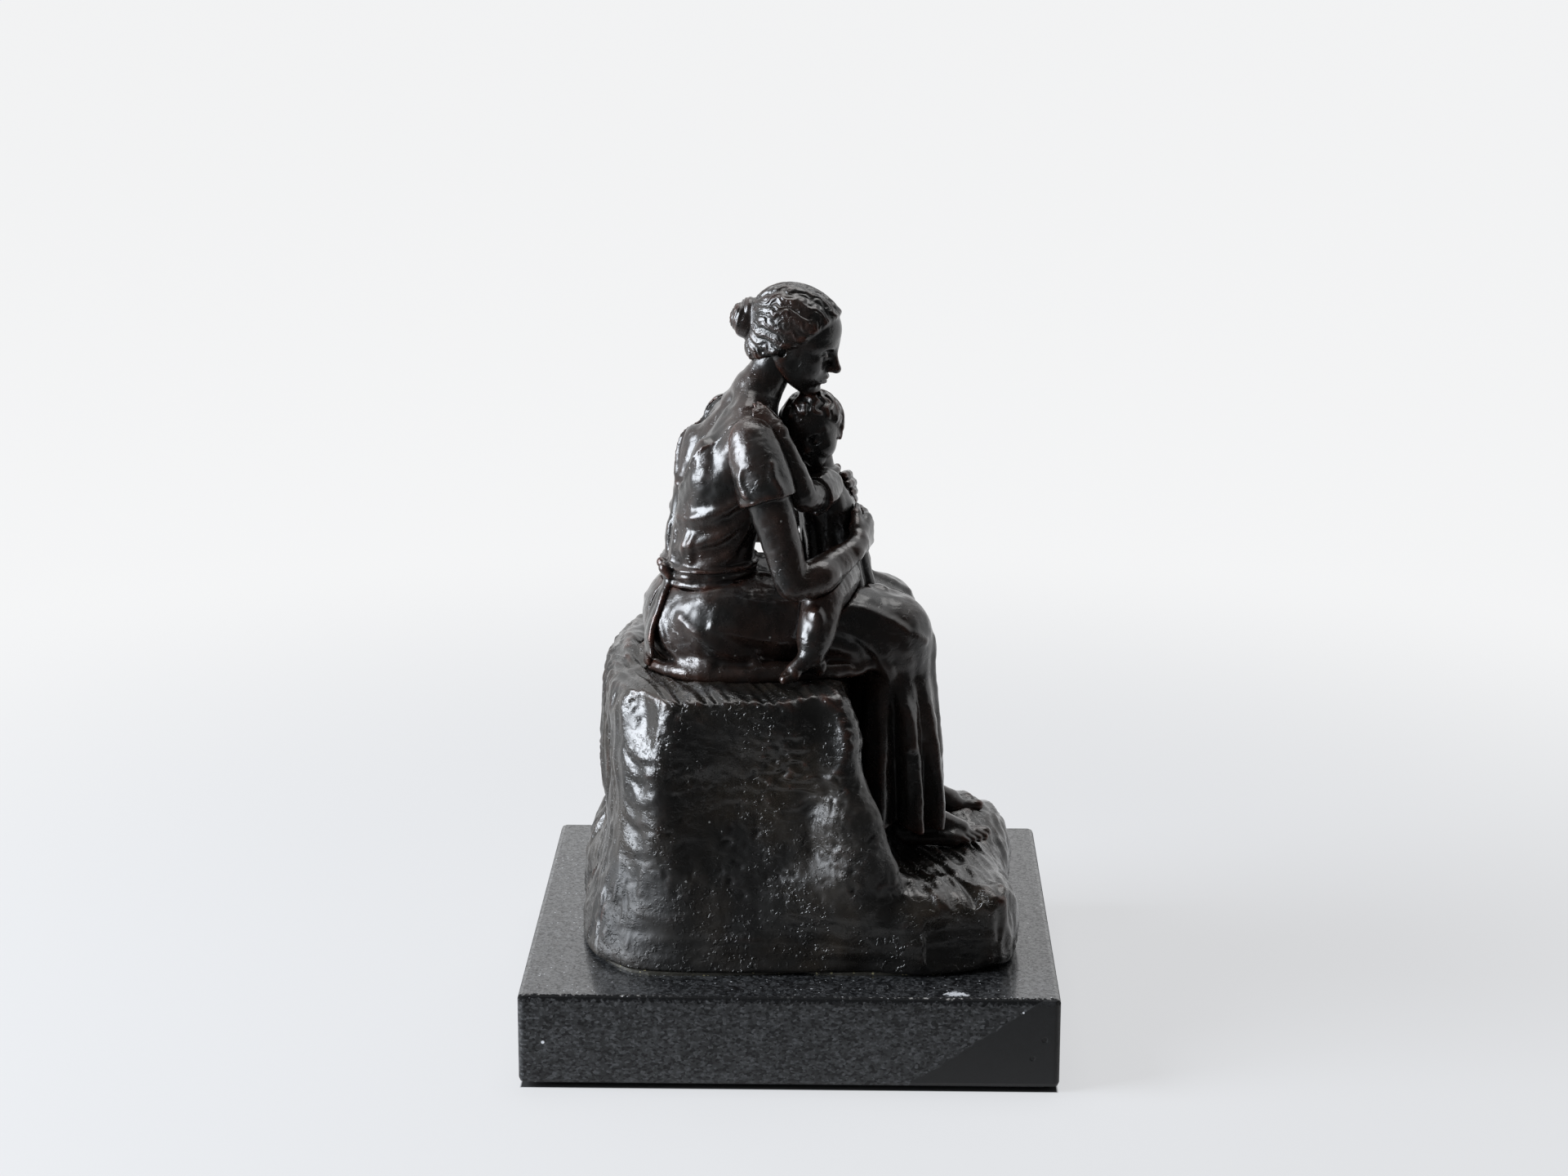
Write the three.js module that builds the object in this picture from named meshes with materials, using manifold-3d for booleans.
// A bronze group of a seated mother with a child on her lap, on a hollow cast rock, fixed to a stone plinth.
// Millimetres, +Z up. The origin is the centre of the underside. +X is the way the mother's feet point,
// and the near side of the rock faces -Y.

import * as THREE from "three";
import { mergeVertices } from "three/addons/utils/BufferGeometryUtils.js";
import Module from "manifold-3d";

const wasm = await Module();
wasm.setup();

// Plinth and what lies under and on it
const PLINTH_WIDTH = 110; // along X
const PLINTH_DEPTH = 110; // along Y
const PLINTH_THICK = 19;
const PLINTH_EASE = 1; // rounding of the worn edges
const PLINTH_CORNER = 0.4; // radius of the upright corners, before the easing
const FELT_THICK = 1;
const FELT_INSET = 3; // from the plinth's sides
const BED_THICK = 0.6; // adhesive under the rock's rim
const BED_SQUEEZE = 0.5; // how far the adhesive stands out of the joint

// Rock: a hollow casting with a seat block behind and a ledge for the feet in front
const SEAT_HEIGHT = 57; // above the rock's underside
const LEDGE_HEIGHT = 16.4;
const SEAT_BLOCK_X = -14.5; // centre of the seat block
const SEAT_BLOCK_DEPTH = 58; // along X, at the foot
const SEAT_BLOCK_WIDTH = 84; // along Y, at the foot
const SEAT_TAPER = 4; // how far each side leans in by the seat
const LEDGE_X = 19.5; // centre of the ledge
const LEDGE_DEPTH = 53;
const LEDGE_WIDTH = 82;
const LEDGE_TAPER = 2;
const ROCK_ROUND = 4.5; // rounding of the rock's upper edges
const ROCK_WALL = 4;
const ROCK_SQUARENESS = 3.4; // power of the super-ellipse that a level cut through the rock follows
const ROCK_RIPPLE = 1.3; // how far the rock's sides wander in and out

// Fixings
const JOINT_GAP = 0.3; // left all round every joint
const STUD_DIAMETER = 5;
const STUD_GRIP = 8; // length in its lug
const REAR_STUD_INSET = 8.5; // from the rock's rear edge
const FRONT_STUD_INSET = 13; // from the ledge's front edge
const LUG_DIAMETER = 12;
const LUG_HEIGHT = 16; // of the rear lug; the front one reaches the ledge
const STUD_CLEARANCE = 0.5; // round each stud, through the plinth
const COUNTERBORE_DIAMETER = 14;
const COUNTERBORE_DEPTH = 9;
const WASHER_DIAMETER = 10;
const WASHER_THICK = 1;
const NUT_ACROSS_FLATS = 8;
const NUT_THICK = 4;
const SCREW_DIAMETER = 4;
const SCREW_REACH = 5; // above the seat, into the figure
const SCREW_HEAD_DIAMETER = 7;
const SCREW_HEAD_THICK = 2.8;
const SEAT_WASHER_DIAMETER = 9;
const SEAT_WASHER_THICK = 0.8;
const SEAT_BOSS_DIAMETER = 14;
const SEAT_BOSS_DEPTH = 9; // underside of the boss, below the seat
const WAIST_PIN_DIAMETER = 4;
const NECK_PIN_DIAMETER = 2.4;
const SHOULDER_PIN_DIAMETER = 2;
const FOOT_PIN_DIAMETER = 2;
const FOOT_PIN_DEPTH = 3; // into the ledge
const CHILD_SEAT_PIN_DIAMETER = 2.4;
const CHILD_NECK_PIN_DIAMETER = 1.6;

// Drapery of the skirt, where it falls from the knees
const FOLD_COUNT = 11;
const FOLD_DEPTH = 0.9; // at the hem

// Where the figure sits on the rock
const KNEE_REACH = 20.5; // from the figure's origin to the foot of the seat block's front
const FIGURE_Y = -4;
const FIGURE_TURN = THREE.MathUtils.degToRad(12); // turned from +X towards +Y

// Fineness of the round forms
const LIMB_SIDES = 10;
const LIMB_STEPS = 2; // rings for each stretch of a limb
const BALL_SIDES = 14;
const BALL_RINGS = 9;
const TRUNK_SIDES = 20;
const FOLD_SIDES = 44;
const ROCK_SIDES = 44;
const ROUND_SIDES = 20;
const OVERCUT = 1; // how far a cutting tool passes the face that it cuts

const ROCK_Z = FELT_THICK + PLINTH_THICK + BED_THICK;
const FIGURE_X = SEAT_BLOCK_X + SEAT_BLOCK_DEPTH / 2 - KNEE_REACH;
const LEDGE_FROM_SEAT = LEDGE_HEIGHT - SEAT_HEIGHT;
const FIGURE_PLACE = new THREE.Matrix4()
  .makeRotationZ(FIGURE_TURN)
  .setPosition(FIGURE_X, FIGURE_Y, SEAT_HEIGHT);

// Solids from geometry, and back

function toSolid(geometry) {
  const bare = geometry.clone();
  bare.deleteAttribute("normal");
  bare.deleteAttribute("uv");
  const merged = mergeVertices(bare, 1e-4);
  return new wasm.Manifold(
    new wasm.Mesh({
      numProp: 3,
      vertProperties: new Float32Array(merged.attributes.position.array),
      triVerts: new Uint32Array(merged.index.array),
    }),
  );
}

function toGeometry(solid) {
  const mesh = solid.getMesh();
  const geometry = new THREE.BufferGeometry();
  geometry.setAttribute("position", new THREE.BufferAttribute(mesh.vertProperties, 3));
  geometry.setIndex(new THREE.BufferAttribute(mesh.triVerts, 1));
  geometry.computeVertexNormals();
  return geometry;
}

// The figure's solids lie in its own turned frame. This gives a copy in the rock's frame.
const inRockFrame = (solid) => toSolid(toGeometry(solid).applyMatrix4(FIGURE_PLACE));

// A cut can leave a chip behind. The casting is the largest body.
const largest = (solid) => solid.decompose().sort((a, b) => b.volume() - a.volume())[0];

// Forms. Each is a function that takes how much to grow, so that a neighbour can be cut with a gap.

// A closed skin over a row of rings, which turn anticlockwise about the way that the row runs.
function skin(rings) {
  const sides = rings[0].length;
  const points = rings.flat();
  const middle = (ring) =>
    ring.reduce((sum, point) => sum.add(point), new THREE.Vector3()).divideScalar(sides);
  const first = points.length;
  const last = first + 1;
  const top = (rings.length - 1) * sides;
  points.push(middle(rings[0]), middle(rings.at(-1)));
  const index = [];
  for (let side = 0; side < sides; side++) {
    const next = (side + 1) % sides;
    for (let base = 0; base < top; base += sides) {
      const [a, b, c, d] = [base + side, base + next, base + sides + side, base + sides + next];
      index.push(a, b, d, a, d, c);
    }
    index.push(first, next, side, last, top + side, top + next);
  }
  return toSolid(new THREE.BufferGeometry().setFromPoints(points).setIndex(index));
}

// An ellipsoid, tipped forwards by an angle in degrees about Y.
const ball =
  (centre, radii, tip = 0) =>
  (grow = 0) => {
    const geometry = new THREE.SphereGeometry(1, BALL_SIDES, BALL_RINGS);
    geometry.scale(...radii.map((radius) => radius + grow));
    geometry.rotateY(THREE.MathUtils.degToRad(tip));
    geometry.translate(...centre);
    return toSolid(geometry);
  };

// A round limb through stations of [x, y, z, radius], with domed ends.
const limb =
  (...stations) =>
  (grow = 0) => {
    const curve = new THREE.CatmullRomCurve3(stations.map(([x, y, z]) => new THREE.Vector3(x, y, z)));
    const stretches = stations.length - 1;
    const count = stretches * LIMB_STEPS;
    const rings = [];
    let across = null;
    const ring = (centre, radius, along) => {
      const guess = across ?? (Math.abs(along.z) < 0.9 ? new THREE.Vector3(0, 0, 1) : new THREE.Vector3(1, 0, 0));
      across = guess.clone().addScaledVector(along, -guess.dot(along)).normalize();
      const beside = along.clone().cross(across);
      const turn = (side) => (2 * Math.PI * side) / LIMB_SIDES;
      rings.push(
        Array.from({ length: LIMB_SIDES }, (_, side) =>
          centre
            .clone()
            .addScaledVector(across, radius * Math.cos(turn(side)))
            .addScaledVector(beside, radius * Math.sin(turn(side))),
        ),
      );
    };
    const dome = (t, radius, slopes) => {
      const along = curve.getTangent(t);
      for (const slope of slopes) {
        const angle = THREE.MathUtils.degToRad(slope);
        ring(curve.getPoint(t).addScaledVector(along, radius * Math.sin(angle)), radius * Math.cos(angle), along);
      }
    };
    dome(0, stations[0][3] + grow, [-75, -40]);
    for (let step = 0; step <= count; step++) {
      const at = step / LIMB_STEPS;
      const from = Math.min(Math.floor(at), stretches - 1);
      const radius = THREE.MathUtils.lerp(stations[from][3], stations[from + 1][3], at - from) + grow;
      ring(curve.getPoint(step / count), radius, curve.getTangent(step / count));
    }
    dome(1, stations.at(-1)[3] + grow, [40, 75]);
    return skin(rings);
  };

// A level super-ellipse of half sizes a along X and b along Y. ripple moves each point in or out.
function outline(x, y, z, a, b, power, sides, ripple = () => 0) {
  const bend = (value) => Math.sign(value) * Math.abs(value) ** (2 / power);
  return Array.from({ length: sides }, (_, side) => {
    const turn = (2 * Math.PI * side) / sides;
    const out = ripple(turn, z);
    return new THREE.Vector3(x + (a + out) * bend(Math.cos(turn)), y + (b + out) * bend(Math.sin(turn)), z);
  });
}

// An upright trunk through level ellipses of [x, y, z, half depth, half width].
const trunk =
  (...levels) =>
  (grow = 0) => {
    const rings = levels.map(([x, y, z, a, b]) => outline(x, y, z, a + grow, b + grow, 2.3, TRUNK_SIDES));
    rings[0].forEach((point) => (point.z -= grow));
    rings.at(-1).forEach((point) => (point.z += grow));
    return skin(rings);
  };

// Cloth that falls in folds, from a smooth level at the top to the deepest folds at the hem.
const drape =
  (...levels) =>
  (grow = 0) => {
    const [hem, top] = [levels[0][2], levels.at(-1)[2]];
    const fold = (turn, z) => FOLD_DEPTH * ((top - z) / (top - hem)) * Math.sin(FOLD_COUNT * turn + z / 9);
    const rings = levels.map(([x, y, z, a, b]) => outline(x, y, z, a + grow, b + grow, 2.6, FOLD_SIDES, fold));
    rings[0].forEach((point) => (point.z -= grow));
    rings.at(-1).forEach((point) => (point.z += grow));
    return skin(rings);
  };

// A straight round bar between two points.
const bar =
  (from, to, diameter) =>
  (grow = 0) => {
    const [start, end] = [new THREE.Vector3(...from), new THREE.Vector3(...to)];
    const along = end.clone().sub(start);
    const radius = diameter / 2 + grow;
    const geometry = new THREE.CylinderGeometry(radius, radius, along.length() + 2 * grow, ROUND_SIDES / 2);
    geometry.applyQuaternion(
      new THREE.Quaternion().setFromUnitVectors(new THREE.Vector3(0, 1, 0), along.clone().normalize()),
    );
    geometry.translate(...start.add(end).divideScalar(2).toArray());
    return toSolid(geometry);
  };

const join =
  (...forms) =>
  (grow = 0) =>
    forms.map((form) => form(grow)).reduce((sum, solid) => sum.add(solid));

// Points of the other side of the body: left is +Y.
const mirrored = (stations) => stations.map(([x, y, ...rest]) => [x, -y, ...rest]);

// An upright cylinder from one height to another.
function upright(x, diameter, low, high, sides = ROUND_SIDES) {
  const geometry = new THREE.CylinderGeometry(diameter / 2, diameter / 2, high - low, sides);
  geometry.rotateX(Math.PI / 2);
  geometry.translate(x, 0, (low + high) / 2);
  return toSolid(geometry);
}

// A slab with rounded upright corners and eased edges, standing on z = low.
function slab(width, depth, thick, corner, ease, low) {
  const [x, y] = [width / 2 - ease, depth / 2 - ease];
  const shape = new THREE.Shape();
  shape.moveTo(-x + corner, -y);
  shape.lineTo(x - corner, -y).absarc(x - corner, -y + corner, corner, -Math.PI / 2, 0);
  shape.lineTo(x, y - corner).absarc(x - corner, y - corner, corner, 0, Math.PI / 2);
  shape.lineTo(-x + corner, y).absarc(-x + corner, y - corner, corner, Math.PI / 2, Math.PI);
  shape.lineTo(-x, -y + corner).absarc(-x + corner, -y + corner, corner, Math.PI, 1.5 * Math.PI);
  const geometry = new THREE.ExtrudeGeometry(shape, {
    depth: thick - 2 * ease,
    bevelEnabled: ease > 0,
    bevelThickness: ease,
    bevelSize: ease,
    bevelSegments: 2,
    curveSegments: 4,
  });
  geometry.translate(0, 0, low + ease);
  return toSolid(geometry);
}

// Mother, in the figure's frame: the seat is at z = 0 and she faces +X

const HEM_Z = LEDGE_FROM_SEAT + 5;
const SOLE_Z = LEDGE_FROM_SEAT;
const RIGHT_KNEE = [26, -9.5, 5.5, 8];
const LEFT_KNEE = [27, 9.5, 5, 8];
const NECK_BASE = [-3.5, 0, 51];
const NECK_TOP = [1.5, 0, 60.5];
const MOTHER_HEAD = [6.5, -0.5, 68.5];
const FOOT_STATIONS = [
  [-5, 0, 3.6, 3.1],
  [3, -0.4, 3.7, 3.3],
  [10.5, -0.8, 2.6, 2.7],
  [16.5, -0.8, 2, 1.8],
];

const motherTorso = trunk(
  [-12, 0, 12, 9.5, 13.6],
  [-11.8, 0, 20, 8.8, 12],
  [-10.8, 0, 28, 9, 12.2],
  [-8.6, 0, 38, 9.8, 14],
  [-6.6, 0, 45, 8.8, 16.6],
  [-5.4, 0, 49.4, 7, 18],
  [-4.8, 0, 52.4, 5.8, 14.6],
  [-4, 0, 54.8, 5.2, 8.6],
  [-2.6, 0, 57, 4.9, 5.6],
  [-0.4, 0, 59.6, 4.6, 4.8],
  [2, 0, 62.5, 4.2, 4.4],
);

const motherRightArm = limb(
  [-4.5, -16, 46.8, 5.4],
  [-2.2, -19.6, 35, 4.8],
  [1.5, -22.5, 21.6, 3.9],
  [9, -18.9, 23, 3.8],
  [16.6, -12.8, 26.4, 2.6],
  [20.4, -7, 28, 2.8],
  [22, -1.5, 29, 1.8],
);
const motherLeftArm = limb(
  [-4.5, 16, 46.8, 5.4],
  [-1.8, 19.6, 36, 4.8],
  [3, 22.5, 23, 3.9],
  [9.8, 18.6, 26.8, 3.8],
  [16, 12.4, 31.8, 2.6],
  [18.6, 6.6, 34.4, 2.8],
  [19.6, 0.8, 36, 1.8],
);

const motherHead = join(
  ball(MOTHER_HEAD, [9.4, 7.6, 9.8], 20),
  ball([8.6, -0.5, 67.5], [7.4, 6.4, 9], -28),
  limb([9.4, -0.5, 64.5, 5.6], [12.6, -0.5, 61.4, 3.4]),
  limb([15.2, -0.5, 68.2, 0.9], [16.7, -0.5, 64.6, 1.3]),
  ball([-4.5, -0.5, 68.5], [4.6, 5, 4.6]),
);

const motherSkirt = join(
  ball([-12, 0, 10], [13.5, 18.5, 12]),
  limb([-10, -9, 10, 9.8], [9, -9.4, 8.5, 9], RIGHT_KNEE),
  limb([-10, 9, 10, 9.8], [9, 9.4, 8.5, 9], LEFT_KNEE),
  ball([9, 0, 8], [22, 13, 8.2]),
  drape(
    [29.5, 0, HEM_Z, 8.8, 18.4],
    [29.2, 0, HEM_Z + 3, 8.2, 17.6],
    [28.6, 0, HEM_Z + 10, 7.4, 16.8],
    [28, 0, -12, 7, 16.4],
    [27.4, 0, 0, 7.2, 16.6],
    [26.4, 0, 7, 6.4, 15],
    [25, 0, 10.5, 4.6, 11.5],
  ),
);

const foot = (x, y) => limb(...FOOT_STATIONS.map(([dx, dy, dz, r]) => [x + dx, y + dy, SOLE_Z + dz, r]));
const motherRightFoot = foot(RIGHT_KNEE[0] + 1, RIGHT_KNEE[1]);
const motherLeftFoot = foot(LEFT_KNEE[0] + 4, LEFT_KNEE[1]);

// Child, astride the lap and facing the mother

const CHILD_HEAD = [9.8, -1.2, 50.4];
const CHILD_NEAR_SHOULDER = [10.8, -7.5, 37.5];
const CHILD_NEAR_ARM = [
  [...CHILD_NEAR_SHOULDER, 3],
  [4.8, -16.2, 37.4, 2.9],
  [1.4, -15, 47, 2.4],
  [-3, -11.4, 55.4, 1.9],
];
const CHILD_NEAR_LEG = [
  [15, -4.5, 18.8, 5.1],
  [8.6, -18.3, 16.8, 4.3],
  [5.4, -22.6, 8, 3],
  [4, -23.2, 4.6, 2.6],
  [-3, -24.2, 3.4, 2],
];

const childBody = trunk(
  [15, 0, 14.5, 6.6, 8.4],
  [14.9, 0, 21, 6.9, 8.2],
  [14, 0, 28, 6.4, 7.6],
  [12.6, 0, 34, 5.9, 8.8],
  [11.4, 0, 37.8, 4.8, 9.6],
  [10.9, 0, 40.2, 4, 6.6],
  [10.5, -0.3, 42.2, 3.4, 3.8],
  [10, -0.6, 46, 3, 3.2],
);
const childHead = join(
  ball(CHILD_HEAD, [7.4, 6.8, 7.6]),
  ball([CHILD_HEAD[0] + 0.4, CHILD_HEAD[1] - 2.2, CHILD_HEAD[2] - 1.6], [5.6, 5.4, 5.8]),
);
const childLeftArm = limb(...CHILD_NEAR_ARM);
const childRightArm = limb(...mirrored(CHILD_NEAR_ARM));
const childLeftLeg = limb(...CHILD_NEAR_LEG);
const childRightLeg = limb(...mirrored(CHILD_NEAR_LEG));

// Pins across the joints between castings

const along = ([x0, y0, z0], [x1, y1, z1], t) => [x0 + (x1 - x0) * t, y0 + (y1 - y0) * t, z0 + (z1 - z0) * t];
const footPin = (x, y) => bar([x, y, SOLE_Z - FOOT_PIN_DEPTH], [x, y, SOLE_Z + 4.5], FOOT_PIN_DIAMETER);
const WAIST_X = -11.8;
const pins = {
  waist_pin: bar([WAIST_X, 0, SCREW_REACH + 1.5], [WAIST_X, 0, 22], WAIST_PIN_DIAMETER),
  mother_neck_pin: bar(along(NECK_BASE, NECK_TOP, 0.6), along(NECK_BASE, NECK_TOP, 1.7), NECK_PIN_DIAMETER),
  right_shoulder_pin: bar([-5, -13, 50.6], [-3, -18, 40.6], SHOULDER_PIN_DIAMETER),
  left_shoulder_pin: bar([-5, 13, 50.6], [-3, 18, 40.6], SHOULDER_PIN_DIAMETER),
  right_foot_pin: footPin(RIGHT_KNEE[0] + 2, RIGHT_KNEE[1]),
  left_foot_pin: footPin(LEFT_KNEE[0] + 5, LEFT_KNEE[1]),
  child_seat_pin: bar([15, 0, 6], [15, 0, 25], CHILD_SEAT_PIN_DIAMETER),
  child_neck_pin: bar([10.5, -0.2, 40], [9.8, -1, 52], CHILD_NECK_PIN_DIAMETER),
};

// The screw that holds the figure to the rock, and its washer, below the boss under the seat.
const WASHER_TOP = -SEAT_BOSS_DEPTH - JOINT_GAP;
const HEAD_TOP = WASHER_TOP - SEAT_WASHER_THICK - JOINT_GAP;
const seatScrew = join(
  bar([WAIST_X, 0, HEAD_TOP - 1], [WAIST_X, 0, SCREW_REACH], SCREW_DIAMETER),
  bar([WAIST_X, 0, HEAD_TOP - SCREW_HEAD_THICK], [WAIST_X, 0, HEAD_TOP], SCREW_HEAD_DIAMETER),
);

// Every casting gives way, with the joint's gap, to those before it.
const castings = {
  mother_torso: motherTorso,
  mother_right_arm: motherRightArm,
  mother_left_arm: motherLeftArm,
  mother_head: motherHead,
  child_body: childBody,
  child_head: childHead,
  child_left_arm: childLeftArm,
  child_right_arm: childRightArm,
  child_left_leg: childLeftLeg,
  child_right_leg: childRightLeg,
  mother_right_foot: motherRightFoot,
  mother_left_foot: motherLeftFoot,
  mother_skirt: motherSkirt,
};

function fitted(forms) {
  const solids = {};
  const before = [];
  for (const [name, form] of Object.entries(forms)) {
    const cut = before.reduce((solid, earlier) => solid.subtract(earlier(JOINT_GAP)), form());
    solids[name] = largest(cut);
    before.push(form);
  }
  return solids;
}

const figure = fitted({ ...pins, seat_screw: seatScrew, ...castings });
figure.seat_washer = bar(
  [WAIST_X, 0, WASHER_TOP - SEAT_WASHER_THICK],
  [WAIST_X, 0, WASHER_TOP],
  SEAT_WASHER_DIAMETER,
)().subtract(seatScrew(JOINT_GAP));

// Rock, in its own frame: its underside is at z = 0

// The sides of the rock wander in and out, from side to side and a little from low to high.
const ripple = (turn, z) =>
  ROCK_RIPPLE * (0.6 * Math.sin(3 * turn + 0.9 + z / 17) + 0.4 * Math.sin(7 * turn + 2.1 - z / 12));

const rockLevel = (x, z, a, b) => outline(x, 0, z, a, b, ROCK_SQUARENESS, ROCK_SIDES, ripple);

// The rock's two blocks, drawn in by the wall for the hollow, which is open below.
function rockForm(inset = 0) {
  const block = (x, depth, width, height, taper) => {
    const low = inset > 0 ? -OVERCUT : 0;
    const [a, b] = [depth / 2 - inset, width / 2 - inset];
    const shoulder = height - inset - ROCK_ROUND;
    const level = (z, lean) => rockLevel(x, z, a - lean, b - lean);
    return skin([
      level(low, 0),
      level(shoulder * 0.55, taper * 0.4),
      level(shoulder, taper),
      level(height - inset - ROCK_ROUND * 0.3, taper + ROCK_ROUND * 0.3),
      level(height - inset, taper + ROCK_ROUND),
    ]);
  };
  return block(SEAT_BLOCK_X, SEAT_BLOCK_DEPTH, SEAT_BLOCK_WIDTH, SEAT_HEIGHT, SEAT_TAPER).add(
    block(LEDGE_X, LEDGE_DEPTH, LEDGE_WIDTH, LEDGE_HEIGHT, LEDGE_TAPER),
  );
}

// The rock's outline where it meets the bed, drawn in or let out, between two heights.
function rockFootprint(inset, low, high) {
  const block = (x, depth, width) => {
    const level = (z) => rockLevel(x, z, depth / 2 - inset, width / 2 - inset);
    return skin([level(low), level(high)]);
  };
  return block(SEAT_BLOCK_X, SEAT_BLOCK_DEPTH, SEAT_BLOCK_WIDTH).add(block(LEDGE_X, LEDGE_DEPTH, LEDGE_WIDTH));
}

const STUDS = {
  rear: SEAT_BLOCK_X - SEAT_BLOCK_DEPTH / 2 + REAR_STUD_INSET,
  front: LEDGE_X + LEDGE_DEPTH / 2 - FRONT_STUD_INSET,
};
const STUD_LOW = -BED_THICK - PLINTH_THICK + 1.5;
const stud = (x, grow = 0) => upright(x, STUD_DIAMETER + 2 * grow, STUD_LOW - grow, STUD_GRIP + grow);

function rockBase() {
  const [seatX, seatY] = new THREE.Vector3(WAIST_X, 0, 0).applyMatrix4(FIGURE_PLACE).toArray();
  const bossLow = SEAT_HEIGHT - SEAT_BOSS_DEPTH;
  const boss = new THREE.CylinderGeometry(
    SEAT_BOSS_DIAMETER / 2,
    SEAT_BOSS_DIAMETER / 2,
    SEAT_BOSS_DEPTH - ROCK_WALL / 2,
    ROUND_SIDES,
  );
  boss.rotateX(Math.PI / 2);
  boss.translate(seatX, seatY, bossLow + (SEAT_BOSS_DEPTH - ROCK_WALL / 2) / 2);
  const lugs = upright(STUDS.rear, LUG_DIAMETER, 0, LUG_HEIGHT).add(
    upright(STUDS.front, LUG_DIAMETER, 0, LEDGE_HEIGHT - ROCK_WALL / 2),
  );
  const shell = rockForm().subtract(rockForm(ROCK_WALL)).add(toSolid(boss)).add(lugs.intersect(rockForm()));
  const cutters = ["mother_skirt", "mother_right_foot", "mother_left_foot", "child_left_leg", "child_right_leg"]
    .map((name) => castings[name](JOINT_GAP))
    .concat([seatScrew(JOINT_GAP), pins.right_foot_pin(JOINT_GAP), pins.left_foot_pin(JOINT_GAP)]);
  const seated = cutters.reduce((solid, cutter) => solid.subtract(inRockFrame(cutter)), shell);
  return largest(
    Object.values(STUDS).reduce((solid, x) => solid.subtract(stud(x, JOINT_GAP)), seated),
  );
}

const bedding = rockFootprint(-BED_SQUEEZE, -BED_THICK, 0).subtract(
  rockFootprint(ROCK_WALL, -BED_THICK - OVERCUT, OVERCUT),
);

// Plinth, felt and the fixings under it, in the part's frame

const PLINTH_TOP = FELT_THICK + PLINTH_THICK;
const BORE_ROOF = FELT_THICK + COUNTERBORE_DEPTH;

const plinth = Object.values(STUDS).reduce(
  (solid, x) =>
    solid
      .subtract(upright(x, STUD_DIAMETER + 2 * STUD_CLEARANCE, 0, PLINTH_TOP + OVERCUT))
      .subtract(upright(x, COUNTERBORE_DIAMETER, FELT_THICK - OVERCUT, BORE_ROOF)),
  slab(PLINTH_WIDTH, PLINTH_DEPTH, PLINTH_THICK, PLINTH_CORNER, PLINTH_EASE, FELT_THICK),
);
const felt = slab(
  PLINTH_WIDTH - 2 * FELT_INSET,
  PLINTH_DEPTH - 2 * FELT_INSET,
  FELT_THICK,
  PLINTH_CORNER,
  0,
  0,
);

const washerHigh = BORE_ROOF - JOINT_GAP;
const nutHigh = washerHigh - WASHER_THICK - JOINT_GAP;
const studBore = (x) => upright(x, STUD_DIAMETER + 2 * JOINT_GAP, 0, PLINTH_TOP);
const washer = (x) => upright(x, WASHER_DIAMETER, washerHigh - WASHER_THICK, washerHigh).subtract(studBore(x));
const nutCorners = NUT_ACROSS_FLATS / Math.cos(Math.PI / 6);
const nut = (x) => upright(x, nutCorners, nutHigh - NUT_THICK, nutHigh, 6).subtract(studBore(x));

// Finishes

const finish = (color, roughness, metalness) => new THREE.MeshStandardMaterial({ color, roughness, metalness });
const BRONZE = finish(0x2b211c, 0.36, 1);
const STONE = finish(0x2c2d2f, 0.62, 0);
const FELT = finish(0x17181a, 1, 0);
const STEEL = finish(0x8c8f92, 0.4, 1);
const BRASS = finish(0xa98a4e, 0.4, 1);
const ADHESIVE = finish(0x2a2823, 0.7, 0);

// Assembly

function place(group, name, solid, material) {
  const mesh = new THREE.Mesh(toGeometry(solid), material);
  mesh.name = name;
  group.add(mesh);
}

const part = new THREE.Group();
const rockGroup = new THREE.Group();
rockGroup.position.z = ROCK_Z;
part.add(rockGroup);
const figureGroup = new THREE.Group();
figureGroup.position.set(FIGURE_X, FIGURE_Y, SEAT_HEIGHT);
figureGroup.rotation.z = FIGURE_TURN;
rockGroup.add(figureGroup);

place(part, "felt_pad", felt, FELT);
place(part, "stone_plinth", plinth, STONE);
for (const [end, x] of Object.entries(STUDS)) {
  place(part, `${end}_washer`, washer(x), STEEL);
  place(part, `${end}_nut`, nut(x), STEEL);
  place(rockGroup, `${end}_stud`, stud(x), STEEL);
}
place(rockGroup, "bedding_adhesive", bedding, ADHESIVE);
place(rockGroup, "rock_base", rockBase(), BRONZE);
const fixings = { seat_screw: STEEL, seat_washer: STEEL };
for (const [name, solid] of Object.entries(figure)) {
  place(figureGroup, name, solid, fixings[name] ?? (name in pins ? BRASS : BRONZE));
}

export default part;
